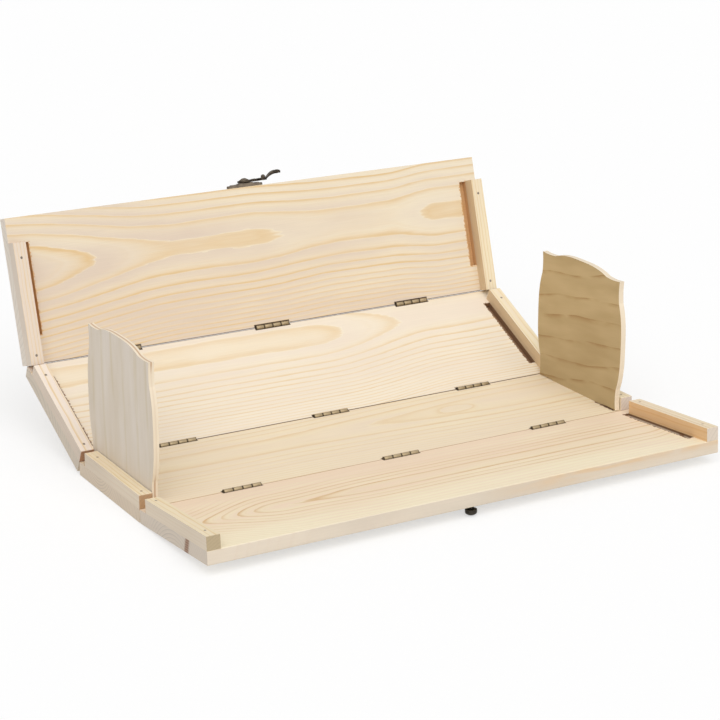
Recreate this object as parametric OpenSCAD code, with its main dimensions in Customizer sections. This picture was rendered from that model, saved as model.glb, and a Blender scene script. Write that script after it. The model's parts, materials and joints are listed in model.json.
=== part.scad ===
// Fold-flat wooden box for one wine bottle.
// Four boards are hinged edge to edge: front, bottom, back and lid. Laid out flat they make one
// strip; folded up they make a square tube round the two plywood end plates on the bottom board.
// Frame: X along the box, -Y to the front, +Z up, origin under the middle of the bottom board.
// Board frame: x along the box, y away from the hinge axis, z = 0 on the board's inner face.

/* [Boards] */
// Length of every board
box_l = 350; // [300:1:420]
// Width of the bottom board, from hinge axis to hinge axis
bottom_w = 88.4; // [80:0.1:110]
// Width of the back board, from hinge axis to hinge axis
back_w = 89; // [80:0.1:110]
// Thickness of every board
board_t = 8.4; // [8:0.1:12]
// Gap between the edges of two neighbouring boards when they lie flat
seam_gap = 0.15; // [0.1:0.05:0.6]
// Width of the planed arris on the long edges away from the hinges
arris = 0.4; // [0.2:0.1:0.8]
// Gap between the front board's free edge and the lid when shut
shut_gap = 0.5; // [0.3:0.1:1.5]
// How far the lid's free edge stays behind the front board's outer face when shut
lid_setback = 2.6; // [2.2:0.1:2.8]

/* [Cleats] */
// Width of a cleat, along the box
cleat_w = 8.5; // [6:0.5:14]
// Height of a cleat above its board
cleat_h = 8.5; // [7:0.5:12]
// Gap left between two cleats that meet at a corner when shut
cleat_gap = 0.4; // [0.3:0.1:1]
// Room between the lid's cleats and the front board's cleats when shut
lid_cleat_gap = 1.7; // [1:0.1:4]
// Diameter of a panel pin
brad_d = 1.2; // [0.8:0.1:1.6]
// Diameter of a panel pin's head
brad_head_d = 1.7; // [1.6:0.1:2.6]
// Length of a panel pin below its head
brad_l = 13; // [11:0.5:15]
// Depth of a pin's head below the cleat's top
brad_sink = 0.4; // [0.2:0.1:0.8]
// Distance from a cleat's end at the hinge to its first panel pin
brad_inset = 6; // [5:0.5:15]
// Distance from a cleat's other end to its second panel pin
brad_far_inset = 10; // [5:0.5:15]

/* [End plates] */
// Thickness of the plywood
plate_t = 3.6; // [3:0.1:5]
// Gap between a cleat's side and the plate beside it
plate_gap = 0.4; // [0.2:0.1:1]
// Room between a plate's corners and the boards when shut
plate_inset = 1.3; // [0.9:0.05:2]
// Gap between a plate's lower corners and the bottom board
plate_lift = 0.3; // [0.2:0.1:0.6]
// Rise of the crown in the middle of each plate edge above the line of its corners
crown_h = 3.7; // [3:0.1:5]
// Distance from a corner at which the crown starts
crown_start = 14.5; // [12:0.5:20]
// Depth of the hollow between a corner and the crown
dip_h = 0.5; // [0:0.1:2]

/* [Slots] */
// Width of the slots in the front and back boards
slot_w = 4.6; // [4.4:0.1:6.4]
// Width of the slots in the lid
lid_slot_w = 4.8; // [4.4:0.1:6.4]
// Depth of the slots in the front board, back board and lid
slot_depth = 3.8; // [3.6:0.1:4.5]
// Room between a slot's end and the crown that enters it, in the front and back boards
slot_room = 7; // [3:0.5:9]
// Room between the crown and the end of the lid's slots at the hinge
lid_slot_room = 1; // [0.5:0.1:3]
// Distance from the other end of the lid's slots to the end of the lid's cleats
lid_slot_runout = 0.6; // [0.2:0.1:3]

/* [Hinges] */
// Length of a hinge
hinge_l = 25; // [20:1:32]
// Distance between the middles of neighbouring hinges
hinge_pitch = 109; // [70:1:125]
// Number of knuckles in a hinge
knuckles = 4; // [2:1:6]
// Gap between neighbouring knuckles
knuckle_gap = 0.2; // [0.1:0.05:0.3]
// Outer diameter of a knuckle
knuckle_d = 3; // [2.8:0.1:3.4]
// Height of the hinge axes above the boards' inner faces
axis_h = 0.15; // [0.1:0.05:1]
// Gap between the knuckles and the trough that is cut for them in the boards' edges
trough_gap = 0.3; // [0.2:0.1:0.6]
// Diameter of a hinge pin
pin_d = 1.4; // [1.2:0.1:1.6]
// Radial clearance of a pin in the knuckles that turn on it
pin_clear = 0.05; // [0.02:0.01:0.1]
// Thickness of a leaf
leaf_t = 0.7; // [0.6:0.1:1]
// Depth of a leaf below the boards' inner faces
leaf_h = 6.5; // [5:0.1:7]
// Diameter of a leaf's nail
leaf_nail_d = 1; // [0.8:0.1:1.3]
// Diameter of a leaf nail's head
leaf_nail_head_d = 2; // [1.6:0.1:2.4]
// Thickness of a leaf nail's head, which lies inside the leaf
leaf_nail_head_t = 0.35; // [0.2:0.05:0.5]
// Length of a leaf's nail under its head
leaf_nail_l = 6; // [4:0.5:10]
// Distance between the two nails of a leaf
leaf_nail_pitch = 15; // [10:1:20]

/* [Clasp] */
// Place of the clasp along the box, from the middle
clasp_x = -3; // [-60:1:60]
// Length of the clasp's base plate
base_l = 26; // [22:1:34]
// Width of the base plate
base_w = 7.4; // [6:0.1:8]
// Thickness of the base plate's ends
base_t = 1; // [0.8:0.1:1.2]
// Height of the raised middle of the base plate
base_rise = 2.9; // [2.6:0.1:3]
// Diameter of the raised middle at its foot
base_dome_d = 15; // [12:0.5:17]
// Diameter of the raised middle at its top
base_top_d = 8; // [7:0.5:10]
// Height of the heads of the base plate's nails
base_nail_head_h = 0.6; // [0.4:0.1:0.9]
// Distance between the base plate's two nails
base_nail_pitch = 20; // [18:0.5:21]
// Gap between the turning hook and the parts above and below it
hook_gap = 0.1; // [0.05:0.05:0.2]
// Thickness of the hook
hook_t = 1.4; // [1:0.1:1.6]
// Diameter of the hook's eye
hook_eye_d = 9; // [7:0.5:10]
// Distance from the pivot to the middle of the hook's notch
hook_reach = 9.5; // [9:0.1:11]
// Outer diameter of the hook round its notch
hook_ring_d = 8; // [7:0.5:9]
// Width of the notch
notch_w = 4.2; // [3.9:0.1:4.4]
// Width of the hook's arm between its eye and its notch
arm_w = 4; // [3:0.5:5]
// Width of the hook's stem between its notch and its thumb piece
stem_w = 2.6; // [2:0.1:3.6]
// Length of the thumb piece
thumb_l = 13.6; // [9:0.1:16]
// Width of the thumb piece at its tip
thumb_w = 4.8; // [3.6:0.1:6]
// Height of the thumb piece above the arm's underside
thumb_rise = 5; // [3:0.5:6]
// Diameter of the ball on the hook
ball_d = 2.8; // [2.2:0.1:3]
// Height of the ball's middle above the hook's upper face
ball_rise = 0.5; // [0.2:0.1:0.8]
// Gap between the ball and the knob's head when the hook holds it
ball_gap = 0.4; // [0.3:0.1:1]
// Diameter of the rivet's shank
rivet_d = 2; // [1.6:0.1:2.4]
// Diameter of the rivet's head
rivet_head_d = 6.4; // [5:0.1:7]
// Height of the rivet's domed head
rivet_head_h = 1.5; // [1:0.1:2]

/* [Catch knob] */
// Height of the knob above the front board's outer face
catch_h = 6.4; // [5.6:0.1:7]
// Diameter of the knob's head
catch_d = 7.2; // [6:0.1:7.6]
// Radius of the head's rounded top
catch_dome_r = 5; // [4.6:0.1:8]
// Diameter of the knob's neck
neck_d = 3.4; // [2.4:0.1:3.6]
// Length of the neck
neck_l = 2.4; // [2.2:0.1:2.6]
// Diameter of the knob's spike in the board
spike_d = 2; // [1.6:0.1:2.4]
// Length of the spike
spike_l = 6; // [4:0.5:7]

/* [Opening] */
// Angle of the back board above level as it stands open
back_open = 25.3; // [0:0.1:60]
// Angle of the lid from the back board's own plane as it stands open
lid_open = 48; // [0:0.1:80]

/* [Hidden] */
leaf_top = axis_h - knuckle_d / 2 - knuckle_gap;
leaf_nail_z = (leaf_top - leaf_h) / 2;
half_l = box_l / 2;
half_w = bottom_w / 2;
edge_gap = seam_gap / 2;
cavity_w = bottom_w + 2 * axis_h;
cavity_h = back_w + 2 * axis_h;
front_w = back_w + axis_h - shut_gap;
lid_w = bottom_w + axis_h + board_t - lid_setback;
corner_set = cleat_h - axis_h + cleat_gap;
lid_cleat_end = bottom_w + axis_h - cleat_h - lid_cleat_gap;

plate_x = half_l - cleat_w - plate_gap - plate_t;
plate_w = cavity_w - 2 * plate_inset;
plate_h = cavity_h - 2 * plate_inset;
crown_sink = crown_h - plate_lift;
// Where a crown has risen as far as the board beside it: on the plates' level and upright edges
function entry(l) = crown_start + (l / 2 - crown_start) * (1 - pow(1 - plate_inset / crown_h, 1 / 3));
crown_y = plate_w / 2 - entry(plate_w);
crown_low = entry(plate_h) + plate_lift - axis_h;
crown_high = plate_h - entry(plate_h) + plate_lift - axis_h;

// Place of the catch knob on the front board: where the hook's notch comes when shut
catch_y = back_w + axis_h + board_t / 2 - hook_reach;
// The knob's rounded top stands on the surface under the box, which tilts the front board:
// how far the middle of that rounding lies below the hinge axis, flat and as it stands
dome_flat = axis_h + board_t + catch_h - catch_dome_r;
dome_stood = axis_h + board_t - catch_dome_r;
front_open = atan2(dome_flat, catch_y) - asin(dome_stood / norm([catch_y, dome_flat]));

knuckle_pitch = hinge_l / knuckles;
hinge_places = [-hinge_pitch, 0, hinge_pitch];
hook_z = base_rise + hook_gap;
head_z = hook_z + hook_t + hook_gap;
ball_x = hook_reach + (catch_d + ball_d) / 2 + ball_gap;
thumb_x = ball_x + hook_t / 2;
// Points along the thumb piece, and how it sweeps up and curls over at its tip
THUMB_STEPS = 12;
CURL_START = 0.72;
CURL_DROP = 0.45;
// Points along half of a plate's edge: up to the crown's start, and along half the crown
DIP_STEPS = 6;
CROWN_STEPS = 16;
// First and last end of each board's cleats, measured from the hinge axis or the board's middle
BOTTOM_CLEAT = [-half_w + edge_gap, half_w - corner_set];
FRONT_CLEAT = [corner_set, front_w];
BACK_CLEAT = [edge_gap, back_w - corner_set];
LID_CLEAT = [edge_gap, lid_cleat_end];
// How far a cut runs past the face it opens
cut = 1;
// How far two shapes of one piece run into each other
eps = 0.01;

pine = [0.93, 0.86, 0.72];
cleat_pine = [0.90, 0.81, 0.66];
plywood = [0.82, 0.74, 0.60];
brass = [0.55, 0.47, 0.30];
bronze = [0.29, 0.25, 0.21];
steel = [0.35, 0.33, 0.31];

BOARDS = ["bottom_board", "front_board", "back_board", "lid_board"];
CLEATS = ["bottom_cleat_left", "bottom_cleat_right", "front_cleat_left", "front_cleat_right",
    "back_cleat_left", "back_cleat_right", "lid_cleat_left", "lid_cleat_right"];
PINS = ["bottom_cleat_pins", "front_cleat_pins", "back_cleat_pins", "lid_cleat_pins"];
PLATES = ["end_plate_left", "end_plate_right"];
FRONT_HINGES = ["front_hinge_1_bottom_leaf", "front_hinge_1_front_leaf", "front_hinge_1_pin",
    "front_hinge_2_bottom_leaf", "front_hinge_2_front_leaf", "front_hinge_2_pin",
    "front_hinge_3_bottom_leaf", "front_hinge_3_front_leaf", "front_hinge_3_pin"];
BACK_HINGES = ["back_hinge_1_bottom_leaf", "back_hinge_1_back_leaf", "back_hinge_1_pin",
    "back_hinge_2_bottom_leaf", "back_hinge_2_back_leaf", "back_hinge_2_pin",
    "back_hinge_3_bottom_leaf", "back_hinge_3_back_leaf", "back_hinge_3_pin"];
LID_HINGES = ["lid_hinge_1_back_leaf", "lid_hinge_1_lid_leaf", "lid_hinge_1_pin",
    "lid_hinge_2_back_leaf", "lid_hinge_2_lid_leaf", "lid_hinge_2_pin",
    "lid_hinge_3_back_leaf", "lid_hinge_3_lid_leaf", "lid_hinge_3_pin"];
LEAF_NAILS = ["front_hinge_bottom_nails", "front_hinge_front_nails", "back_hinge_bottom_nails",
    "back_hinge_back_nails", "lid_hinge_back_nails", "lid_hinge_lid_nails"];
CLASP = ["clasp_base", "clasp_base_nails", "clasp_hook", "clasp_rivet", "catch_knob"];

// ---- Where each board stands ----

module on_bottom() {
    translate([0, 0, board_t]) children();
}

module on_hinge_of_bottom(angle) {
    translate([0, half_w, board_t + axis_h]) rotate([angle, 0, 0]) translate([0, 0, -axis_h])
        children();
}

module on_front() {
    mirror([0, 1, 0]) on_hinge_of_bottom(front_open) children();
}

module on_back() {
    on_hinge_of_bottom(back_open) children();
}

module on_lid() {
    on_back() translate([0, back_w, axis_h]) rotate([lid_open, 0, 0]) translate([0, 0, -axis_h])
        children();
}

// The far edge of the back board, turned so that y runs away from the lid's hinge axis
module on_back_far_edge() {
    on_back() translate([0, back_w, 0]) mirror([0, 1, 0]) children();
}

// One edge of the bottom board, turned so that y runs away from that edge's hinge axis:
// side is -1 at the front and 1 at the back
module on_bottom_edge(side) {
    on_bottom() translate([0, side * half_w, 0]) rotate([0, 0, side > 0 ? 180 : 0]) children();
}

// The lid's free edge: x along the box, z out of the edge, origin at the hook's pivot
module on_lid_edge() {
    on_lid() translate([clasp_x, lid_w, -board_t / 2]) rotate([-90, 0, 0]) children();
}

// ---- Boards ----

// A plain board from y0 to y1, planed to an arris along its outer edges and also, where it has
// no hinge at y1, along its free inner edge
module plank(y0, y1, free) {
    inner = free ? arris : 0;
    translate([-half_l, 0, 0]) rotate([90, 0, 90]) linear_extrude(box_l) polygon(concat(
        [[y0, 0], [y0, arris - board_t], [y0 + arris, -board_t], [y1 - arris, -board_t]],
        [[y1, arris - board_t], [y1, -inner]], free ? [[y1 - arris, 0]] : []));
}

// A pair of slots that take the end plates' crowns
module slot_cuts(y0, y1, width, depth, inner_gap) {
    for (side = [0, 1]) mirror([side, 0, 0])
        translate([half_l - cleat_w - inner_gap - width, y0, -depth])
            cube([width, y1 - y0, depth + cut]);
}

// The housings for the three leaves, the troughs for their knuckles and the holes for their
// nails, along the edge at y = 0
module leaf_cuts() {
    housing_l = hinge_l + 2 * knuckle_gap;
    for (x = hinge_places) translate([x, 0, 0]) {
        translate([-housing_l / 2, -cut, -leaf_h - knuckle_gap])
            cube([housing_l, cut + edge_gap + leaf_t, leaf_h + knuckle_gap + cut]);
        translate([-housing_l / 2, 0, axis_h]) rotate([0, 90, 0])
            cylinder(r = knuckle_d / 2 + trough_gap, h = housing_l, $fn = 48);
        leaf_nail_places() nail_hole(leaf_nail_d, leaf_nail_l + leaf_nail_head_t);
    }
}

// A blind hole down the local z axis, with its mouth at the origin
module nail_hole(d, l) {
    translate([0, 0, -l]) cylinder(d = d, h = l + cut, $fn = 24);
}

// The places of the panel pins in a board's two cleats, at the height of the pins' heads
module cleat_pin_places(run) {
    for (side = [0, 1], y = [run[0] + brad_inset, run[1] - brad_far_inset]) mirror([side, 0, 0])
        translate([half_l - cleat_w / 2, y, cleat_h - brad_sink]) children();
}

module cleat_pin_holes(run) {
    cleat_pin_places(run) nail_hole(brad_d, brad_l);
}

module bottom_board() {
    slot_y = plate_w / 2 - crown_start;
    color(pine) difference() {
        on_bottom() difference() {
            plank(-half_w + edge_gap, half_w - edge_gap, false);
            slot_cuts(-slot_y, slot_y, plate_t, crown_sink, plate_gap);
            cleat_pin_holes(BOTTOM_CLEAT);
        }
        for (side = [-1, 1]) on_bottom_edge(side) leaf_cuts();
    }
}

module front_board() {
    color(pine) on_front() difference() {
        plank(edge_gap, front_w, true);
        slot_cuts(corner_set, crown_high + slot_room, slot_w, slot_depth, 0);
        cleat_pin_holes(FRONT_CLEAT);
        leaf_cuts();
        translate([clasp_x, catch_y, -board_t]) mirror([0, 0, 1]) nail_hole(spike_d, spike_l);
    }
}

module back_board() {
    color(pine) difference() {
        on_back() difference() {
            plank(edge_gap, back_w - edge_gap, false);
            slot_cuts(crown_low - slot_room, crown_high + slot_room, slot_w, slot_depth, 0);
            cleat_pin_holes(BACK_CLEAT);
            leaf_cuts();
        }
        on_back_far_edge() leaf_cuts();
    }
}

module lid_board() {
    color(pine) difference() {
        on_lid() difference() {
            plank(edge_gap, lid_w, true);
            slot_cuts(half_w - crown_y - lid_slot_room, lid_cleat_end - lid_slot_runout, lid_slot_w,
                slot_depth, 0);
            cleat_pin_holes(LID_CLEAT);
            leaf_cuts();
        }
        on_lid_edge() base_nail_places() nail_hole(leaf_nail_d, leaf_nail_l);
    }
}

// ---- Cleats and their panel pins ----

module cleat(run, side) {
    x0 = side < 0 ? -half_l : half_l - cleat_w;
    y0 = run[0];
    y1 = run[1];
    edge = arris / 2;
    color(cleat_pine) difference() {
        translate([x0, 0, 0]) rotate([90, 0, 90]) linear_extrude(cleat_w) polygon([
            [y0, 0], [y1, 0], [y1, cleat_h - edge], [y1 - edge, cleat_h],
            [y0 + edge, cleat_h], [y0, cleat_h - edge]]);
        cleat_pin_holes(run);
        cleat_pin_places(run) cylinder(d = brad_head_d, h = brad_sink + cut, $fn = 24);
    }
}

module cleat_pins(run) {
    color(steel) cleat_pin_places(run) {
        translate([0, 0, -brad_l]) cylinder(d = brad_d, h = brad_l + eps, $fn = 24);
        cylinder(d = brad_head_d, h = brad_sink / 2, $fn = 24);
    }
}

// ---- Plywood end plates ----

// The hollow beside a corner and half of the crown, on an edge of length l, as
// [distance from the nearer corner, height above the line of the corners]
function hollow() = [for (i = [0:DIP_STEPS - 1])
    [crown_start * i / DIP_STEPS, -dip_h * sin(180 * i / DIP_STEPS)]];
function half_crown(l) = [for (i = [0:CROWN_STEPS])
    [crown_start + (l / 2 - crown_start) * i / CROWN_STEPS,
        crown_h * (1 - pow(1 - i / CROWN_STEPS, 3))]];
function half_edge(l) = concat(hollow(), half_crown(l));
function reversed(v) = [for (i = [len(v) - 1:-1:0]) v[i]];

// One edge from corner to corner, as [place along the edge, height]
function edge_line(l) = let (half = half_edge(l), last = len(half) - 1) concat(
    [for (p = half) [p[0] - l / 2, p[1]]],
    [for (i = [last - 1:-1:1]) [l / 2 - half[i][0], half[i][1]]]);
function plate_outline(w, h) = concat(
    [for (p = edge_line(w)) [p[0], -h / 2 - p[1]]],
    [for (p = edge_line(h)) [w / 2 + p[1], p[0]]],
    [for (p = edge_line(w)) [-p[0], h / 2 + p[1]]],
    [for (p = edge_line(h)) [-w / 2 - p[1], -p[0]]]);

module end_plate(side) {
    x0 = side < 0 ? -plate_x - plate_t : plate_x;
    color(plywood) on_bottom() translate([x0, 0, plate_lift + plate_h / 2])
        rotate([90, 0, 90]) linear_extrude(plate_t) polygon(plate_outline(plate_w, plate_h));
}

// ---- Hinges ----

// A leaf lies in the edge at y = edge_gap; its knuckles stand on the hinge axis above y = 0.
// first is the number of its first knuckle, and bore the diameter of its knuckles' hole
module leaf(first, bore) {
    color(brass) difference() {
        union() {
            translate([-hinge_l / 2, edge_gap, -leaf_h]) cube([hinge_l, leaf_t, leaf_h + leaf_top]);
            for (i = [first:2:knuckles - 1])
                translate([-hinge_l / 2 + i * knuckle_pitch + knuckle_gap / 2, 0, 0]) {
                    translate([0, 0, axis_h]) rotate([0, 90, 0])
                        cylinder(d = knuckle_d, h = knuckle_pitch - knuckle_gap, $fn = 48);
                    translate([0, edge_gap, leaf_top - eps])
                        cube([knuckle_pitch - knuckle_gap, leaf_t, axis_h - leaf_top]);
                }
        }
        translate([-hinge_l, 0, axis_h]) rotate([0, 90, 0])
            cylinder(d = bore, h = 2 * hinge_l, $fn = 48);
        leaf_nail_places() nail_hole(leaf_nail_d, 2 * leaf_nail_l);
        leaf_nail_places() nail_hole(leaf_nail_head_d, leaf_nail_head_t);
    }
}

module hinge_pin() {
    color(brass) translate([-hinge_l / 2, 0, axis_h]) rotate([0, 90, 0])
        cylinder(d = pin_d, h = hinge_l, $fn = 48);
}

// The two nails of one leaf: z points out of the board's edge, origin on the leaf's face
module leaf_nail_places() {
    for (x = [-leaf_nail_pitch / 2, leaf_nail_pitch / 2])
        translate([x, edge_gap, leaf_nail_z]) rotate([90, 0, 0]) children();
}

module leaf_nails() {
    color(steel) for (x = hinge_places) translate([x, 0, 0]) leaf_nail_places() {
        translate([0, 0, -leaf_nail_head_t]) cylinder(d = leaf_nail_head_d, h = leaf_nail_head_t,
            $fn = 24);
        translate([0, 0, -leaf_nail_head_t - leaf_nail_l])
            cylinder(d = leaf_nail_d, h = leaf_nail_l + eps, $fn = 24);
    }
}

// The leaf that holds the pin fast, and the leaf that turns on it
module fixed_leaf() {
    leaf(0, pin_d);
}

module turning_leaf() {
    leaf(1, pin_d + 2 * pin_clear);
}

// ---- Clasp: a hook on the lid's edge and a knob on the front board ----

module base_nail_places() {
    for (x = [-base_nail_pitch / 2, base_nail_pitch / 2]) translate([x, 0, 0]) children();
}

module base_outline() {
    end_r = base_w / 2;
    square([base_l - 2 * end_r, base_w], center = true);
    for (side = [-1, 1]) translate([side * (base_l / 2 - end_r), 0]) circle(r = end_r, $fn = 48);
}

module clasp_base() {
    color(bronze) on_lid_edge() difference() {
        union() {
            linear_extrude(base_t) base_outline();
            intersection() {
                translate([0, 0, base_t - eps]) cylinder(d1 = base_dome_d, d2 = base_top_d,
                    h = base_rise - base_t + eps, $fn = 64);
                translate([-base_l / 2, -base_w / 2, 0]) cube([base_l, base_w, base_rise]);
            }
        }
        translate([0, 0, -cut]) cylinder(d = rivet_d, h = base_rise + 2 * cut, $fn = 32);
        base_nail_places() translate([0, 0, -cut])
            cylinder(d = leaf_nail_d, h = base_t + 2 * cut, $fn = 24);
    }
}

module clasp_base_nails() {
    color(steel) on_lid_edge() base_nail_places() {
        translate([0, 0, -leaf_nail_l]) cylinder(d = leaf_nail_d, h = leaf_nail_l + base_t + eps,
            $fn = 24);
        translate([0, 0, base_t]) cylinder(d1 = leaf_nail_head_d, d2 = leaf_nail_head_d / 2,
            h = base_nail_head_h, $fn = 24);
    }
}

module clasp_rivet() {
    cap_r = (pow(rivet_head_d / 2, 2) + pow(rivet_head_h, 2)) / (2 * rivet_head_h);
    color(bronze) on_lid_edge() {
        cylinder(d = rivet_d, h = head_z + eps, $fn = 32);
        translate([0, 0, head_z]) intersection() {
            translate([0, 0, rivet_head_h - cap_r]) sphere(r = cap_r, $fn = 64);
            cylinder(d = rivet_head_d, h = rivet_head_h, $fn = 48);
        }
    }
}

// The thumb piece seen from the side: how far it has risen at a share a of its length
function smooth(a) = a * a * (3 - 2 * a);
function curl(a) = (a - CURL_START) / (1 - CURL_START);
function thumb_mid(a) = thumb_rise
    * (a < CURL_START ? smooth(a / CURL_START) : 1 - CURL_DROP * pow(curl(a), 2));
function thumb_line(lift) = [for (i = [0:THUMB_STEPS])
    [thumb_x + thumb_l * i / THUMB_STEPS, hook_z + lift + thumb_mid(i / THUMB_STEPS)]];

module thumb_piece() {
    tip_r = thumb_w / 2;
    tip_x = thumb_l - tip_r;
    intersection() {
        translate([0, thumb_w, 0]) rotate([90, 0, 0]) linear_extrude(2 * thumb_w)
            polygon(concat(thumb_line(0), reversed(thumb_line(hook_t))));
        translate([thumb_x, 0, 0]) linear_extrude(hook_z + hook_t + thumb_rise + cut) {
            polygon([[0, -stem_w / 2], [tip_x, -tip_r], [tip_x, tip_r], [0, stem_w / 2]]);
            translate([tip_x, 0]) circle(r = tip_r, $fn = 48);
        }
    }
}

// The hook's notch: its mouth follows the way that the knob's neck takes as the hook turns
module notch_outline() {
    translate([hook_reach, 0]) circle(d = notch_w, $fn = 48);
    intersection() {
        difference() {
            circle(r = hook_reach + notch_w / 2, $fn = 96);
            circle(r = hook_reach - notch_w / 2, $fn = 96);
        }
        translate([0, -hook_ring_d]) square([hook_reach + notch_w, hook_ring_d]);
    }
}

// The hook lying on the base plate: origin at the pivot, z along it, the arm towards +x
module hook_body() {
    stem_end = thumb_x + hook_t;
    difference() {
        union() {
            translate([0, 0, hook_z]) linear_extrude(hook_t) union() {
                circle(d = hook_eye_d, $fn = 64);
                translate([0, -arm_w / 2]) square([hook_reach, arm_w]);
                translate([hook_reach, 0]) circle(d = hook_ring_d, $fn = 64);
                translate([hook_reach, -stem_w / 2]) square([stem_end - hook_reach, stem_w]);
            }
            thumb_piece();
            translate([ball_x, 0, hook_z + hook_t + ball_rise]) sphere(d = ball_d, $fn = 32);
        }
        translate([0, 0, hook_z - cut])
            cylinder(d = rivet_d + 2 * pin_clear, h = hook_t + 2 * cut, $fn = 32);
        translate([0, 0, hook_z - cut]) linear_extrude(hook_t + 2 * cut) notch_outline();
    }
}

module clasp_hook() {
    color(bronze) on_lid_edge() hook_body();
}

module catch_knob() {
    rim_z = catch_h - catch_dome_r + sqrt(pow(catch_dome_r, 2) - pow(catch_d / 2, 2));
    color(bronze) on_front() translate([clasp_x, catch_y, -board_t]) mirror([0, 0, 1]) {
        translate([0, 0, -spike_l]) cylinder(d = spike_d, h = spike_l + eps, $fn = 32);
        cylinder(d = neck_d, h = neck_l + eps, $fn = 48);
        translate([0, 0, neck_l]) cylinder(d = catch_d, h = rim_z - neck_l + eps, $fn = 64);
        intersection() {
            translate([0, 0, catch_h - catch_dome_r]) sphere(r = catch_dome_r, $fn = 96);
            translate([0, 0, rim_z]) cylinder(d = catch_d, h = catch_h, $fn = 64);
        }
    }
}

// ---- Nodes ----

bottom_board();
front_board();
back_board();
lid_board();

on_bottom() cleat(BOTTOM_CLEAT, -1);  // bottom_cleat_left
on_bottom() cleat(BOTTOM_CLEAT, 1);  // bottom_cleat_right
on_front() cleat(FRONT_CLEAT, -1);  // front_cleat_left
on_front() cleat(FRONT_CLEAT, 1);  // front_cleat_right
on_back() cleat(BACK_CLEAT, -1);  // back_cleat_left
on_back() cleat(BACK_CLEAT, 1);  // back_cleat_right
on_lid() cleat(LID_CLEAT, -1);  // lid_cleat_left
on_lid() cleat(LID_CLEAT, 1);  // lid_cleat_right

on_bottom() cleat_pins(BOTTOM_CLEAT);  // bottom_cleat_pins
on_front() cleat_pins(FRONT_CLEAT);  // front_cleat_pins
on_back() cleat_pins(BACK_CLEAT);  // back_cleat_pins
on_lid() cleat_pins(LID_CLEAT);  // lid_cleat_pins

end_plate(-1);  // end_plate_left
end_plate(1);  // end_plate_right

for (i = [0:2]) translate([hinge_places[i], 0, 0]) {
    on_bottom_edge(-1) fixed_leaf();
    on_front() turning_leaf();
    on_bottom_edge(-1) hinge_pin();
    on_bottom_edge(1) mirror([1, 0, 0]) fixed_leaf();
    on_back() turning_leaf();
    on_bottom_edge(1) hinge_pin();
    on_back_far_edge() fixed_leaf();
    on_lid() turning_leaf();
    on_back_far_edge() hinge_pin();
}

on_bottom_edge(-1) leaf_nails();  // front_hinge_bottom_nails
on_front() leaf_nails();  // front_hinge_front_nails
on_bottom_edge(1) leaf_nails();  // back_hinge_bottom_nails
on_back() leaf_nails();  // back_hinge_back_nails
on_back_far_edge() leaf_nails();  // lid_hinge_back_nails
on_lid() leaf_nails();  // lid_hinge_lid_nails

clasp_base();
clasp_base_nails();
clasp_hook();
clasp_rivet();
catch_knob();
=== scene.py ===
import json
from functools import partial
from math import cos, pi, radians, sin

import bmesh
import bpy
from mathutils import Euler, Matrix, Vector


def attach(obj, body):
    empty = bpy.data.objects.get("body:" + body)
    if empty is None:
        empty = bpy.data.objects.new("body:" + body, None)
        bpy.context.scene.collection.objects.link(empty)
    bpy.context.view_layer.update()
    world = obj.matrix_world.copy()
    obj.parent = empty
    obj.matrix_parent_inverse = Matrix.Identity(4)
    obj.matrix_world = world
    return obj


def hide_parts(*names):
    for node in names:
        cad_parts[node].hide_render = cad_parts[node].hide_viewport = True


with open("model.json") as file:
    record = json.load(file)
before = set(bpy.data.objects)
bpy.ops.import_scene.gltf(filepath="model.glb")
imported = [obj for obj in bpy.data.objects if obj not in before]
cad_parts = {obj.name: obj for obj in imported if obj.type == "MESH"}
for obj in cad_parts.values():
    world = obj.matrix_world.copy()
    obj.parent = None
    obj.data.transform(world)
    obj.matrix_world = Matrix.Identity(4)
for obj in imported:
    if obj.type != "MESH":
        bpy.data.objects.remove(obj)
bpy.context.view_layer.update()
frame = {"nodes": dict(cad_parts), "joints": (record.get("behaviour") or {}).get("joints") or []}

MM = 0.001

# ---- Boards ----
# Four boards of planed, unfinished pine, 8.4 mm thick, hinged edge to edge. They are sawn through
# and through from young trees, so the year rings lie in nested tongues on the faces and in arcs on
# the sawn ends.

hinge = {joint["name"]: joint for joint in frame["joints"]}
front_tilt = radians(-hinge["front_hinge"]["range_deg"][0])
back_tilt = radians(-hinge["back_hinge"]["range_deg"][0])
lid_tilt = back_tilt + radians(-hinge["lid_hinge"]["range_deg"][0])
axis_h = 0.15         # height of the hinge axes above the boards' inner faces
board_l = 350.0
board_t = 8.4
half_bottom = -hinge["front_hinge"]["pos_m"][1] / MM
back_w = (Vector(hinge["lid_hinge"]["pos_m"]) - Vector(hinge["back_hinge"]["pos_m"])).length / MM
cleat_w = 8.5
hinge_pitch = 109.0   # from hinge to hinge along a seam
housing_l = 25.6      # length of the housing cut for a hinge
trough_r = 1.8        # radius of the trough for its knuckles
young_r = 36          # the year rings crowd together further than this from the heart
crowding = 1 / 330


def laid(joint, tilt):
    """The turn and shift, in mm, that bring a hinged board's points into its own frame:
    x along the board, y away from the hinge, z = 0 on the inner face."""
    turn = Euler((tilt, 0, 0))
    pivot = Vector(hinge[joint]["pos_m"]) / MM
    return turn, Vector((0, 0, axis_h)) - turn.to_matrix() @ pivot


ON_BOTTOM = (Euler((0, 0, 0)), Vector((0, 0, -board_t)))
ON_FRONT = laid("front_hinge", front_tilt)
ON_BACK = laid("back_hinge", -back_tilt)
ON_LID = laid("lid_hinge", -lid_tilt)


def linear(colour):
    """An sRGB hex colour as the linear values that the shader takes."""
    parts = [int(colour[i:i + 2], 16) / 255 for i in (1, 3, 5)]
    return (*(c / 12.92 if c <= 0.04045 else ((c + 0.055) / 1.055) ** 2.4 for c in parts), 1)


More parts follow.
